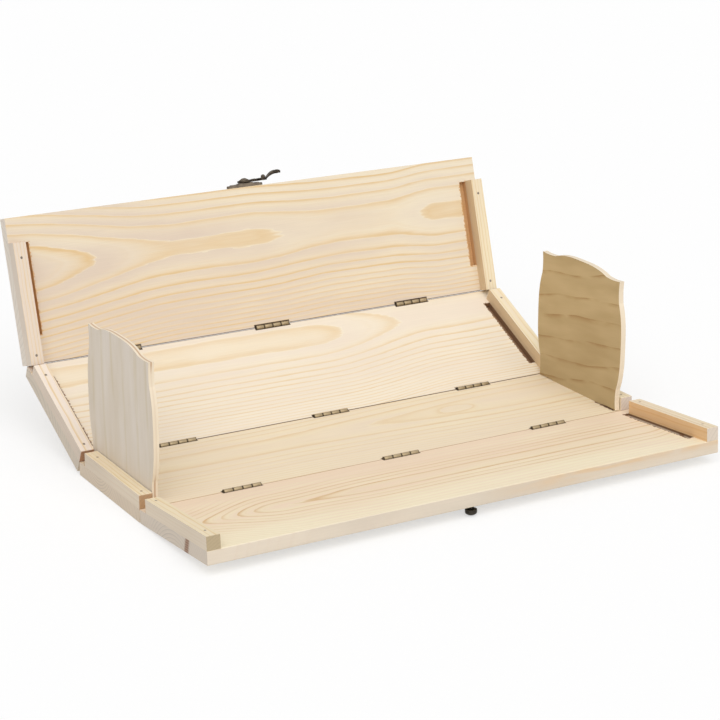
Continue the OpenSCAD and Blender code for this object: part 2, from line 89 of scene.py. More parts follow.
def add(tree, kind, links=None, ramp=None, **settings):
    """One shader node: links gives its sockets values or other nodes' outputs, ramp its colours."""
    node = tree.nodes.new("ShaderNode" + kind)
    for key, value in settings.items():
        setattr(node, key, value)
    for key, value in (links or {}).items():
        if isinstance(value, bpy.types.NodeSocket):
            tree.links.new(value, node.inputs[key])
        else:
            node.inputs[key].default_value = value
    if ramp:
        stops = node.color_ramp.elements
        while len(stops) < len(ramp):
            stops.new(1)
        for stop, (place, colour) in zip(stops, ramp):
            stop.position = place
            stop.color = linear(colour) if isinstance(colour, str) else (colour, colour, colour, 1)
    return node


def new_material(name):
    """An empty node tree and its shader, joined to the output."""
    material = bpy.data.materials.new(name)
    material.use_nodes = True
    tree = material.node_tree
    tree.nodes.clear()
    shader = add(tree, "BsdfPrincipled")
    add(tree, "OutputMaterial", {"Surface": shader.outputs[0]})
    return material, tree, shader


def dress(names, material):
    """Gives CAD nodes their material."""
    for name in names:
        slots = frame["nodes"][name].data.materials
        slots.clear()
        slots.append(material)


def pine(name, laid_as, heart, ring, rise=0.0, drift=(), knots=(), seed=0, contrast=1.0,
         early="#F0E2C6", late="#D9B981", tint="#E8D6C4", sway=(0, 0, 0), calm=None, end="#D6C9B8",
         end_deep=0.3, end_rings=None, end_knot=None, edge="#DCCDB6", edge_mix=0.7, stain=None,
         seams=None, seam=("#4A3120", 0.42), slot=None, plate_foot_shadow=None, scorch_and_shadow_tones=("#4A2C14", "#86593A"), scorch_and_shadow_depth=7.8,
         grain_turn=(0, 0, 0), one_shaded_side=False):
    """Planed softwood as a solid. heart is the place (y, z) of the tree's heart in the board's own
    frame and ring the width of a year ring, in mm. rise lifts the rings everywhere, drift lifts them
    along the board as (x from, x to, mm), and knots are (x, y, length, width, mm) where they bulge.
    The wood turns from tint to early as sway = (per mm along, per mm across, start) grows, and its
    rings fade further than calm = (y, half) from a line. end_rings is (y, z, ring) where the sawn
    ends show another heart, end_knot (y, width) a dark knot there, and stain (x0, x1, colour) a
    browner stretch of the long edges. seams is (middle, half) where the hinges lie at y = middle +-
    half, and seam the (colour, width) of painted shade on their lips, in the crack between boards.
    slot is (y0, y1, width) of a slot with saw scorch on its walls, and plate_foot_shadow (x, y0, y1)
    a painted contact shadow along the base of an end plate: scorch_and_shadow_tones is the dark and
    the pale colour of both, and scorch_and_shadow_depth how deep the marks reach.
    grain_turn turns the grain, in radians, and with one_shaded_side only the long edge that then
    faces -y has the edge colour, there painting shade and warm bounce light."""
    material, tree, shader = new_material(name)
    n = partial(add, tree)
    turn, shift = laid_as
    place = n("TexCoord")
    board = n("Mapping", {0: place.outputs["Object"], 1: shift, 2: turn, 3: (1 / MM,) * 3}).outputs[0]
    grain = board
    if any(grain_turn):
        grain = n("Mapping", {0: board, 2: grain_turn}).outputs[0]
    along, across, depth = n("SeparateXYZ", {0: grain}).outputs
    own = n("VectorMath", {0: grain, 1: (seed * 211, seed * 17, seed * 29)}, operation="ADD").outputs[0]
    facing = n("Mapping", {0: place.outputs["Normal"], 2: turn}, vector_type="NORMAL").outputs[0]
    if any(grain_turn):
        facing = n("Mapping", {0: facing, 2: grain_turn}, vector_type="NORMAL").outputs[0]
    inner_side = n("SeparateXYZ", {0: facing}).outputs[1]
    facing = n("VectorMath", {0: facing}, operation="ABSOLUTE").outputs[0]
    sawn, narrow, _ = n("SeparateXYZ", {0: facing}).outputs
    if one_shaded_side:
        narrow = n("Math", {0: inner_side, 1: -1.0}, operation="MULTIPLY").outputs[0]
    sawn = n("MapRange", {0: sawn, 1: 0.6, 2: 0.8}).outputs[0]
    narrow = n("MapRange", {0: narrow, 1: 0.6, 2: 0.8}).outputs[0]

    # Year rings round the heart, wandering slowly along the grain and closer together further out
    away = n("VectorMath", {0: grain, 1: (0, heart[0], heart[1])}, operation="SUBTRACT").outputs[0]
    away = n("VectorMath", {0: away, 1: (0, 1, 1)}, operation="MULTIPLY").outputs[0]
    radius = n("VectorMath", {0: away}, operation="LENGTH").outputs["Value"]
    radius = n("Math", {0: radius, 1: rise}, operation="ADD").outputs[0]
    for length, width, swing in ((150, 42, 0.8), (34, 12, 0.336), (16, 1.5, 0.26)):
        stretched = n("VectorMath", {0: own, 1: (1 / length, 1 / width, 1 / width)},
                      operation="MULTIPLY").outputs[0]
        wave = n("TexNoise", {"Vector": stretched, "Scale": 1.0, "Detail": 1.0}).outputs["Fac"]
        wave = n("Math", {0: wave, 1: 0.5}, operation="SUBTRACT").outputs[0]
        radius = n("Math", {0: wave, 1: 2.4 * swing, 2: radius}, operation="MULTIPLY_ADD").outputs[0]
    for start, stop, lift in drift:
        lift = n("MapRange", {0: along, 1: start, 2: stop, 3: 0, 4: lift},
                 interpolation_type="SMOOTHSTEP").outputs[0]
        radius = n("Math", {0: radius, 1: lift}, operation="ADD").outputs[0]
    for x, y, length, width, lift in knots:
        spot = n("VectorMath", {0: grain, 1: (x, y, 0)}, operation="SUBTRACT").outputs[0]
        spot = n("VectorMath", {0: spot, 1: (1 / length, 1 / width, 0)}, operation="MULTIPLY").outputs[0]
        spot = n("VectorMath", {0: spot}, operation="LENGTH").outputs["Value"]
        bulge = n("MapRange", {0: spot, 1: 0, 2: 1, 3: lift, 4: 0},
                  interpolation_type="SMOOTHERSTEP").outputs[0]
        radius = n("Math", {0: radius, 1: bulge}, operation="ADD").outputs[0]
    years = n("Math", {0: radius, 1: ring}, operation="DIVIDE").outputs[0]
    beyond = n("Math", {0: radius, 1: young_r}, operation="SUBTRACT").outputs[0]
    beyond = n("Math", {0: beyond, 1: 0}, operation="MAXIMUM").outputs[0]
    crowded = n("Math", {0: beyond, 1: beyond}, operation="MULTIPLY").outputs[0]
    years = n("Math", {0: crowded, 1: crowding, 2: years}, operation="MULTIPLY_ADD").outputs[0]
    if end_rings:
        round_end = n("VectorMath", {0: grain, 1: (0, end_rings[0], end_rings[1])},
                      operation="SUBTRACT").outputs[0]
        round_end = n("VectorMath", {0: round_end, 1: (0, 1, 1)}, operation="MULTIPLY").outputs[0]
        round_end = n("VectorMath", {0: round_end}, operation="LENGTH").outputs["Value"]
        round_end = n("Math", {0: round_end, 1: end_rings[2]}, operation="DIVIDE").outputs[0]
        years = n("Mix", {0: sawn, 2: years, 3: round_end}).outputs[0]
    season = n("Math", {0: years}, operation="FRACT").outputs[0]
    year = n("Math", {0: years, 1: seed * 7}, operation="ADD").outputs[0]
    year = n("Math", {0: year}, operation="FLOOR").outputs[0]
    chance = n("TexWhiteNoise", {"W": year}, noise_dimensions="1D").outputs["Value"]

    # Pinkish wood of spring, which yellows to the narrow tan line of late summer
    summer = n("ValToRGB", {0: season}, ramp=[(0.0, 0.0), (0.36, 0.07), (0.46, 0.2), (0.54, 0.1),
                                             (0.72, 0.42), (0.88, 1.0), (0.95, 0.8), (1.0, 0.0)]).outputs[0]
    weight = n("MapRange", {0: chance, 3: 0.56 * contrast, 4: 1.0 * contrast}).outputs[0]
    wide = n("VectorMath", {0: own, 1: (1 / 80, 1 / 22, 1 / 22)}, operation="MULTIPLY").outputs[0]
    region = n("TexNoise", {"Vector": wide, "Scale": 1.0, "Detail": 2.0}).outputs["Fac"]
    faint = n("MapRange", {0: region, 1: 0.35, 2: 0.65, 3: 0.7, 4: 1.05}).outputs[0]
    weight = n("Math", {0: weight, 1: faint}, operation="MULTIPLY").outputs[0]
    if calm:
        outside = n("Math", {0: across, 1: calm[0]}, operation="SUBTRACT").outputs[0]
        outside = n("Math", {0: outside}, operation="ABSOLUTE").outputs[0]
        outside = n("MapRange", {0: outside, 1: calm[1], 2: calm[1] + 8, 3: 1.0, 4: 0.28}).outputs[0]
        weight = n("Math", {0: weight, 1: outside}, operation="MULTIPLY").outputs[0]
    summer = n("Math", {0: summer, 1: weight}, operation="MULTIPLY", use_clamp=True).outputs[0]

    # Fibres 0.5 mm across, drawn coarser than real ones so that they show
    thin = n("VectorMath", {0: own, 1: (1 / 30, 1 / 0.55, 1 / 0.55)}, operation="MULTIPLY").outputs[0]
    fibre = n("TexNoise", {"Vector": thin, "Scale": 1.0, "Detail": 3.0, "Roughness": 0.6}).outputs["Fac"]
    cream = n("MapRange", {0: season, 1: 0.1, 2: 0.8, 3: 0.15, 4: 0.85}).outputs[0]
    cream = n("Math", {0: region, 1: 1.6, 2: cream}, operation="MULTIPLY_ADD").outputs[0]
    swayed = n("VectorMath", {0: grain, 1: (sway[0], sway[1], 0)}, operation="DOT_PRODUCT").outputs["Value"]
    cream = n("Math", {0: cream, 1: swayed}, operation="ADD").outputs[0]
    cream = n("Math", {0: cream, 1: 0.8 - sway[2]}, operation="SUBTRACT", use_clamp=True).outputs[0]
    base = n("Mix", {0: cream, 6: linear(tint), 7: linear(early)}, data_type="RGBA").outputs[2]
    wood = n("Mix", {0: summer, 6: base, 7: linear(late)}, data_type="RGBA").outputs[2]

    # Sawn ends are darker and show the rings more; long edges are a little greyer
    deep = n("Math", {0: summer, 1: -end_deep, 2: 1.0}, operation="MULTIPLY_ADD").outputs[0]
    butt = n("Mix", {0: 1.0, 6: linear(end), 7: deep}, data_type="RGBA", blend_type="MULTIPLY").outputs[2]
    if end_knot:
        reach = n("Math", {0: across, 1: end_knot[0]}, operation="SUBTRACT").outputs[0]
        reach = n("Math", {0: depth, 1: 0.3, 2: reach}, operation="MULTIPLY_ADD").outputs[0]
        reach = n("Math", {0: reach}, operation="ABSOLUTE").outputs[0]
        heat = n("MapRange", {0: reach, 1: end_knot[1] * 0.3, 2: end_knot[1] * 0.7, 3: 1, 4: 0}).outputs[0]
        bands = n("TexWave", {"Vector": board, "Scale": 0.22, "Distortion": 2.0, "Detail Scale": 0.5},
                  bands_direction="Z").outputs["Fac"]
        knot = n("Mix", {0: bands, 6: linear("#A98A74"), 7: linear("#856049")}, data_type="RGBA").outputs[2]
        butt = n("Mix", {0: heat, 6: butt, 7: knot}, data_type="RGBA").outputs[2]
    dull = n("MapRange", {0: region, 1: 0.35, 2: 0.65, 3: 0.9, 4: 1.05}).outputs[0]
    dull = n("Mix", {0: 1.0, 6: linear(edge), 7: dull}, data_type="RGBA", blend_type="MULTIPLY").outputs[2]
    if stain:
        patch = n("VectorMath", {0: own, 1: (1 / 30, 1 / 6, 1 / 5)}, operation="MULTIPLY").outputs[0]
        patch = n("TexNoise", {"Vector": patch, "Scale": 1.0, "Detail": 2.0,
                               "Distortion": 0.6}).outputs["Fac"]
        patch = n("MapRange", {0: patch, 1: 0.4, 2: 0.62, 3: 0.25, 4: 1.0}).outputs[0]
        reached = n("MapRange", {0: along, 1: stain[0], 2: stain[1]}).outputs[0]
        upper = n("MapRange", {0: depth, 1: -7, 2: -1.5, 3: 0.25, 4: 1.0}).outputs[0]
        for share in (reached, upper):
            patch = n("Math", {0: patch, 1: share}, operation="MULTIPLY").outputs[0]
        dull = n("Mix", {0: patch, 6: dull, 7: linear(stain[2])}, data_type="RGBA").outputs[2]
    side = n("Mix", {0: edge_mix, 6: wood, 7: dull}, data_type="RGBA").outputs[2]
    wood = n("Mix", {0: narrow, 6: wood, 7: side}, data_type="RGBA").outputs[2]
    wood = n("Mix", {0: sawn, 6: wood, 7: butt}, data_type="RGBA").outputs[2]
    streak = n("MapRange", {0: fibre, 1: 0.3, 2: 0.7, 3: 0.97, 4: 1.02}).outputs[0]
    wood = n("Mix", {0: 1.0, 6: wood, 7: streak}, data_type="RGBA", blend_type="MULTIPLY").outputs[2]

    # Saw scorch darkens the slots and the hinges' housings and leaves their lips ragged. Round the
    # knuckles the housings' dark is partly painted shade. The seams' dark lips are painted shade in the
    # crack between boards, and a dark line along an end plate's base is a painted contact shadow.
    rag = n("TexNoise", {"Vector": own, "Scale": 0.7, "Detail": 2.0}).outputs["Fac"]
    rag = n("MapRange", {0: rag, 1: 0.42, 2: 0.66, 3: 0.0, 4: 1.0}).outputs[0]
    scorch_and_shade_marks = []
    if slot:
        inward = n("Math", {0: along}, operation="ABSOLUTE").outputs[0]
        start, stop, width = slot
        scorch_and_shade_marks.append((inward, board_l / 2 - cleat_w - width / 2, width / 2,
                         (start + stop) / 2, (stop - start) / 2, None, scorch_and_shadow_tones))
    # A dark line along an end plate's base: a painted contact shadow.
    if plate_foot_shadow:
        middle, start, stop = plate_foot_shadow
        scorch_and_shade_marks.append((along, middle, 0.7, (start + stop) / 2, (stop - start) / 2, None, scorch_and_shadow_tones))
    if seams:
        nearest = n("Math", {0: along, 1: hinge_pitch / 2}, operation="PINGPONG").outputs[0]
        # Painted shade on the seams' lips, in the crack between boards.
        scorch_and_shade_marks.append((along, 0, board_l, seams[0], seam[1], seams[1], (seam[0], seam[0])))
        # The hinges' housings are darkened round the knuckles: partly saw scorch, partly painted shade.
        scorch_and_shade_marks.append((nearest, 0, housing_l / 2 + 0.3, seams[0], trough_r + 0.3, seams[1],
                         ("#2E2118", "#5A4330")))
    for place_x, x, half_x, y, half_y, half_seam, tones in scorch_and_shade_marks:
        lip = half_seam is not None and half_y < 1
        off_x = n("Math", {0: place_x, 1: x}, operation="SUBTRACT").outputs[0]
        off_x = n("Math", {0: off_x}, operation="ABSOLUTE").outputs[0]
        off_x = n("Math", {0: off_x, 1: half_x}, operation="SUBTRACT").outputs[0]
        off_y = n("Math", {0: across, 1: y}, operation="SUBTRACT").outputs[0]
        off_y = n("Math", {0: off_y}, operation="ABSOLUTE").outputs[0]
        if half_seam is not None:
            off_y = n("Math", {0: off_y, 1: half_seam}, operation="SUBTRACT").outputs[0]
            off_y = n("Math", {0: off_y}, operation="ABSOLUTE").outputs[0]
        off_y = n("Math", {0: off_y, 1: half_y}, operation="SUBTRACT").outputs[0]
        off = n("Math", {0: off_x, 1: off_y}, operation="MAXIMUM").outputs[0]
        if half_seam is None:
            off = n("Math", {0: off, 1: rag}, operation="SUBTRACT").outputs[0]
        scorch_and_shade = n("MapRange", {0: off, 1: 0.0, 2: 0.2, 3: 0.92, 4: 0.0}).outputs[0]
        low, high = (-1.0, -0.3) if lip else (-scorch_and_shadow_depth, 0.6 - scorch_and_shadow_depth)
        inside = n("MapRange", {0: depth, 1: low, 2: high, 3: 0.0, 4: 1.0}).outputs[0]
        scorch_and_shade = n("Math", {0: scorch_and_shade, 1: inside}, operation="MULTIPLY").outputs[0]
        scorch_and_shade_tone = n("Mix", {0: fibre, 6: linear(tones[0]), 7: linear(tones[1])}, data_type="RGBA").outputs[2]
        wood = n("Mix", {0: scorch_and_shade, 6: wood, 7: scorch_and_shade_tone}, data_type="RGBA").outputs[2]
    tree.links.new(wood, shader.inputs["Base Color"])

    rough = n("MapRange", {0: summer, 3: 0.62, 4: 0.5}).outputs[0]
    tree.links.new(rough, shader.inputs["Roughness"])
    relief = n("Math", {0: fibre, 1: 0.5, 2: summer}, operation="MULTIPLY_ADD").outputs[0]
    bump = n("Bump", {"Strength": 0.35, "Distance": 0.06 * MM, "Height": relief}).outputs[0]
    tree.links.new(bump, shader.inputs["Normal"])
    return material


# Each board's seam colour paints shade on the lips of the crack between boards. The bottom board's dark line
# along the right end plate's base is a painted contact shadow.
dress(["bottom_board"], pine("pine_bottom", ON_BOTTOM, heart=(12, -34), ring=4.0, seed=1, contrast=0.62,
                             drift=((-60, 120, -5),), knots=((77, 13, 24, 10, 4),),
                             early="#F0E3C6", tint="#E9D8C0", late="#D6B079", end="#DCCBB6", end_deep=0.42,
                             end_rings=(16, 12, 1.9), seams=(0, half_bottom), seam=("#B8946F", 0.3),
                             plate_foot_shadow=(162.6, -42, -22)))
dress(["front_board"], pine("pine_front", ON_FRONT, heart=(-44, -8), ring=4.5, seed=2, rise=22,
                            drift=((-172, -104, -20.5), (-100, -40, -3.4)), knots=((186, -60, 42, 26, 9),),
                            early="#F5EACC", tint="#EDD6BD", late="#D2A974", sway=(0, -0.012, -0.55),
                            calm=(-43, 20), end="#D8CBBC", edge="#D8CABB", edge_mix=0.8,
                            stain=(0, 50, "#D6B48E"), end_rings=(-46, -30, 2.3), end_knot=(-64, 5),
                            seams=(0, 0), seam=("#C7A27E", 0.3), slot=(-75.5, -8.75, 4.6),
                            scorch_and_shadow_tones=("#4C2D16", "#8A6038"), scorch_and_shadow_depth=1.7))
dress(["back_board"], pine("pine_back", ON_BACK, heart=(74, -32), ring=4.8, seed=3, drift=((20, 110, 7),),
                           early="#EDE3CF", tint="#E7D9C7", late="#DDBE8D", seams=(back_w / 2, back_w / 2),
                           slot=(11.5, 75.5, 4.6), scorch_and_shadow_tones=("#5E3B20", "#9A7048")))
dress(["lid_board"], pine("pine_lid", ON_LID, heart=(60, -25), ring=4.5, seed=4, rise=-7.6,
                          drift=((-190, -60, 9), (-10, 60, 2.4), (100, 140, -2.4)),
                          contrast=1.3, early="#EADEC7", tint="#DBCAB8", late="#DDBF90",
                          sway=(0.002, 0.008, -0.35), end="#E8DDD0", end_deep=0.14, seams=(0, 0),
                          slot=(18.5, 77.75, 4.8), scorch_and_shadow_tones=("#BE8C55", "#DCB27C")))

# ---- Cleats ----
# Eight square strips of straight-grained pine, glued and pinned across the boards' ends. They
# stop the end plates and stiffen the boards.

quarter = (0, 0, pi / 2)
cleat_looks = {
    # The bottom, back and lid left cleats' orange-brown ends are end grain, darkened and warmed as painted
    # shade and bounce light in the spaces between cleats at the box's corners.
    "bottom_cleat_left": (ON_BOTTOM, dict(heart=(40, -30), ring=2.6, end="#BC9772", edge="#D9CBBC")),
    "bottom_cleat_right": (ON_BOTTOM, dict(heart=(40, -30), ring=2.6, end="#DCCDBF")),
    "front_cleat_left": (ON_FRONT, dict(heart=(30, -50), ring=2.4, end="#B9A685", edge="#D9CBBC")),
    # The right front cleat's orange side, facing the box's middle, is painted shade and warm bounce light.
    "front_cleat_right": (ON_FRONT, dict(heart=(34, -22), ring=2.8, end="#DBCDBD", edge="#EDB56F",
                                         late="#C08F5C", contrast=0.8, edge_mix=0.6, one_shaded_side=True)),
    "back_cleat_left": (ON_BACK, dict(heart=(25, -40), ring=2.8, early="#F1E5D8", tint="#E8D9CC",
                                      end="#B98E70", edge="#D6C6B6")),
    "back_cleat_right": (ON_BACK, dict(heart=(25, -40), ring=2.8, edge="#CDB08A")),
    "lid_cleat_left": (ON_LID, dict(heart=(45, -35), ring=2.2, early="#E8DACB", tint="#DFCFC0",
                                    end="#C09A78", edge="#E0D3C5")),
    "lid_cleat_right": (ON_LID, dict(heart=(45, -35), ring=2.2, edge="#CDB08A")),
}
cleat_from_middle = 170     # along the box, in mm
for number, (cleat, (laid_as, look)) in enumerate(cleat_looks.items()):
    offset = cleat_from_middle if cleat.endswith("right") else -cleat_from_middle
    look = {"early": "#EFE2C2", "tint": "#E9D7BC", "end_deep": 0.18, **look}
    look["heart"] = (look["heart"][0] + offset, look["heart"][1])
    dress([cleat], pine("pine_" + cleat, laid_as, seed=10 + number, grain_turn=quarter, **look))

# ---- Panel pins and nails ----
# Plain steel wire pins and nails, oxidised to a dull grey and driven home: two panel pins in each
# cleat, and two nails in each hinge leaf.

wire, tree, shader = new_material("oxidised_steel_wire")
place = add(tree, "TexCoord")
blotch = add(tree, "TexNoise", {"Vector": place.outputs["Object"], "Scale": 900.0, "Detail": 3.0})
tone = add(tree, "ValToRGB", {0: blotch.outputs["Fac"]}, ramp=[(0.35, "#6E645A"), (0.65, "#A2968A")])
tree.links.new(tone.outputs[0], shader.inputs["Base Color"])
rough = add(tree, "MapRange", {0: blotch.outputs["Fac"], 3: 0.4, 4: 0.65})
tree.links.new(rough.outputs[0], shader.inputs["Roughness"])
bump = add(tree, "Bump", {"Strength": 0.2, "Distance": 0.02 * MM, "Height": blotch.outputs["Fac"]})
tree.links.new(bump.outputs[0], shader.inputs["Normal"])
shader.inputs["Metallic"].default_value = 0.4
dress([name for name in frame["nodes"] if name.endswith("_pins") or name.endswith("_nails")], wire)

# ---- End plates ----
# Two square plates with ogee edges, sawn from 3.6 mm three-ply. The left plate's outer veneer
# stands upright and is pale; the right plate's inner veneer lies level and is streaked, and its tan
# is painted shade and warm bounce light.

plate_t = 3.6
plate_middle = board_l / 2 - cleat_w - 0.4 - plate_t / 2    # from the middle of the box


def plywood(name, side, early, late, vein, strength, core_tone, level, shade_at_foot):
    """Rotary-cut veneer with thin feathered veins 15 mm apart, level or upright, and the three plies
    on its sawn edges. shade_at_foot is how bright the face still is at its bottom, where painted
    shade darkens it."""
    material, tree, shader = new_material(name)
    n = partial(add, tree)
    place = n("TexCoord")
    panel = n("Mapping", {0: place.outputs["Object"], 3: (1 / MM,) * 3}).outputs[0]
    turned = n("Mapping", {0: panel, 2: (radians(8 if level else 1), 0, 0)}).outputs[0]
    stretch = (1 / 15, 1 / 55, 1 / 15) if level else (1 / 15, 1 / 15, 1 / 70)
    veneer = n("VectorMath", {0: turned, 1: stretch}, operation="MULTIPLY").outputs[0]
    broad = n("TexNoise", {"Vector": veneer, "Scale": 1.3, "Detail": 2.0}).outputs["Fac"]
    waves = n("TexWave", {"Vector": veneer, "Scale": 0.314, "Distortion": 4.2, "Detail": 3.0,
                          "Detail Scale": 1.4}, bands_direction="Z" if level else "Y",
              wave_profile="SAW" if level else "SIN").outputs["Fac"]
    waves = n("MapRange", {0: waves, 1: 0.78, 2: 1.0}).outputs[0]
    waves = n("Math", {0: waves, 1: 1.6}, operation="POWER").outputs[0]
    patchy = n("TexNoise", {"Vector": veneer, "Scale": 2.3}).outputs["Fac"]
    patchy = n("MapRange", {0: patchy, 1: 0.36, 2: 0.56, 3: 0.0, 4: strength}).outputs[0]
    waves = n("Math", {0: waves, 1: patchy}, operation="MULTIPLY").outputs[0]
    tone = n("ValToRGB", {0: broad}, ramp=[(0.35, early), (0.68, late)]).outputs[0]
    face = n("Mix", {0: waves, 6: tone, 7: linear(vein)}, data_type="RGBA").outputs[2]
    fine = n("VectorMath", {0: turned, 1: (2, 1 / 14 if level else 2, 2 if level else 1 / 14)},
             operation="MULTIPLY").outputs[0]
    fibre = n("TexNoise", {"Vector": fine, "Scale": 1.0, "Detail": 3.0}).outputs["Fac"]
    shade = n("MapRange", {0: fibre, 1: 0.3, 2: 0.7, 3: 0.975, 4: 1.015}).outputs[0]
    off, _, height = n("SeparateXYZ", {0: panel}).outputs
    # Painted shade: the face darkens towards the bottom of the plate.
    painted_foot_shade = n("MapRange", {0: height, 1: 10, 2: 75, 3: shade_at_foot, 4: 1.0}).outputs[0]
    shade = n("Math", {0: shade, 1: painted_foot_shade}, operation="MULTIPLY").outputs[0]
    face = n("Mix", {0: 1.0, 6: face, 7: shade}, data_type="RGBA", blend_type="MULTIPLY").outputs[2]

    # Sawn edges: pale outer plies, and a browner core that shows near the foot and on the top
    off = n("Math", {0: off, 1: side * plate_middle}, operation="SUBTRACT").outputs[0]
    off = n("Math", {0: off}, operation="ABSOLUTE").outputs[0]
    outer = n("Math", {0: height, 1: 58}, operation="SUBTRACT").outputs[0]
    outer = n("Math", {0: outer}, operation="ABSOLUTE").outputs[0]
    outer = n("MapRange", {0: outer, 1: 30, 2: 36, 3: 0.12, 4: 0.7}).outputs[0]
    core = n("MapRange", {0: off, 1: 0.35, 2: 0.65, 3: 1, 4: 0}).outputs[0]
    core = n("Math", {0: core, 1: outer}, operation="MULTIPLY").outputs[0]
    plies = n("Mix", {0: core, 6: linear("#EBDCC4"), 7: linear(core_tone)}, data_type="RGBA").outputs[2]
    edge = n("SeparateXYZ", {0: place.outputs["Normal"]}).outputs[0]
    edge = n("Math", {0: edge}, operation="ABSOLUTE").outputs[0]
    edge = n("MapRange", {0: edge, 1: 0.6, 2: 0.8, 3: 1, 4: 0}).outputs[0]
    wood = n("Mix", {0: edge, 6: face, 7: plies}, data_type="RGBA").outputs[2]
    tree.links.new(wood, shader.inputs["Base Color"])
    rough = n("MapRange", {0: broad, 3: 0.55, 4: 0.66}).outputs[0]
    tree.links.new(rough, shader.inputs["Roughness"])
    bump = n("Bump", {"Strength": 0.3, "Distance": 0.05 * MM, "Height": fibre}).outputs[0]
    tree.links.new(bump, shader.inputs["Normal"])
    return material


dress(["end_plate_left"], plywood("pine_plywood_pale", -1, early="#E2D7CA", late="#DBCEBC", vein="#CFBF9B",
                                  strength=0.4, core_tone="#B98A60", level=False, shade_at_foot=0.95))
# The right plate's tan colours are the same plywood in painted shade and warm bounce light.
dress(["end_plate_right"], plywood("pine_plywood_in_painted_shade", 1, early="#CAB285", late="#BDA477", vein="#A27B45",
                                   strength=0.85, core_tone="#E4D2BA", level=True, shade_at_foot=0.84))

# ---- Hinges ----
# Nine butt hinges pressed from 0.7 mm brass strip, dipped to look old, paler on the ridges partly
# from wear and partly as a painted highlight, and darkest where knuckle meets knuckle, as painted
# shade. Each leaf's strip is rolled round the pin into two knuckles, and lies in a housing in the
# board's edge.

knuckle_d = 3.0
knuckle_pitch = 6.25
knuckle_gap = 0.2
pin_d = 1.4
leaf_t = 0.7
leaf_h = 6.5
seam_half = 0.075
hinge_l = 25.0
roll_from = radians(-50)      # where the strip starts to roll round the pin, seen along the pin
roll_turn = radians(335)

brass, tree, shader = new_material("antique_brass_strip")
n = partial(add, tree)
place = n("TexCoord")
blotch = n("TexNoise", {"Vector": place.outputs["Object"], "Scale": 420.0, "Detail": 4.0}).outputs["Fac"]
# Paler on sharp ridges: partly worn bare, partly a painted highlight.
wear_and_highlight = n("NewGeometry").outputs["Pointiness"]
wear_and_highlight = n("MapRange", {0: wear_and_highlight, 1: 0.5, 2: 0.58}).outputs[0]
tone = n("ValToRGB", {0: blotch}, ramp=[(0.3, "#57462F"), (0.7, "#9A8362")]).outputs[0]
tone = n("Mix", {0: wear_and_highlight, 6: tone, 7: linear("#B4A282")}, data_type="RGBA").outputs[2]
# Painted shade: darker near each joint between knuckles.
along = n("Mapping", {0: place.outputs["Object"], 3: (1 / MM,) * 3}).outputs[0]
along = n("SeparateXYZ", {0: along}).outputs[0]
along = n("Math", {0: along, 1: hinge_pitch / 2}, operation="PINGPONG").outputs[0]
along = n("Math", {0: along, 1: knuckle_pitch / 2}, operation="PINGPONG").outputs[0]
knuckle_joint_shade = n("MapRange", {0: along, 1: 0.3, 2: 0.8, 3: 0.8, 4: 0.0}).outputs[0]
tone = n("Mix", {0: knuckle_joint_shade, 6: tone, 7: linear("#2E2317")}, data_type="RGBA").outputs[2]
tree.links.new(tone, shader.inputs["Base Color"])
rough = n("MapRange", {0: blotch, 3: 0.32, 4: 0.6}).outputs[0]
tree.links.new(rough, shader.inputs["Roughness"])
bump = n("Bump", {"Strength": 0.25, "Distance": 0.03 * MM, "Height": blotch}).outputs[0]
tree.links.new(bump, shader.inputs["Normal"])
shader.inputs["Metallic"].default_value = 0.7


def standing(laid_as):
    """The matrix that takes a form in a board's own frame, in mm, to its place in the box."""
    turn, shift = laid_as
    back = turn.to_matrix().inverted().to_4x4()
    return Matrix.Scale(MM, 4) @ back @ Matrix.Translation(-shift)


def put(name, form, matrix, material, body, nodes):
    """Ends a new piece: its mesh in place, its material, the body it rides on, what it replaces."""
    bmesh.ops.transform(form, matrix=matrix, verts=form.verts)
    bmesh.ops.recalc_face_normals(form, faces=form.faces)
    mesh = bpy.data.meshes.new(name)
    form.to_mesh(mesh)
    form.free()
    mesh.materials.append(material)
    for face in mesh.polygons:
        face.use_smooth = True
    mesh.set_sharp_from_angle(angle=radians(38))
    piece = bpy.data.objects.new(name, mesh)
    bpy.context.scene.collection.objects.link(piece)
    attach(piece, body)
    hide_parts(*nodes)


def block(form, low, high):
    """Adds a rectangular solid between two corners."""
    made = bmesh.ops.create_cube(form, size=1.0)["verts"]
    size = Vector(high) - Vector(low)
    bmesh.ops.scale(form, vec=size, verts=made)
    bmesh.ops.translate(form, vec=(Vector(low) + Vector(high)) / 2, verts=made)


def soften(form, width):
    """Rounds every edge where the faces turn by more than 35 degrees."""
    sharp = [e for e in form.edges if len(e.link_faces) == 2 and e.calc_face_angle() > radians(35)]
    bmesh.ops.bevel(form, geom=sharp, offset=width, offset_type="OFFSET", segments=2, profile=0.5,
                    material=-1, affect="EDGES", clamp_overlap=True)


def turned(form, profile, steps):
    """Adds a solid turned about z from a profile of (radius, height) points."""
    points = [form.verts.new((r, 0, z)) for r, z in profile]
    lines = [form.edges.new(pair) for pair in zip(points, points[1:])]
    bmesh.ops.spin(form, geom=points + lines, cent=(0, 0, 0), axis=(0, 0, 1), angle=2 * pi, steps=steps,
                   use_merge=True)
    bmesh.ops.remove_doubles(form, verts=form.verts, dist=1e-5)


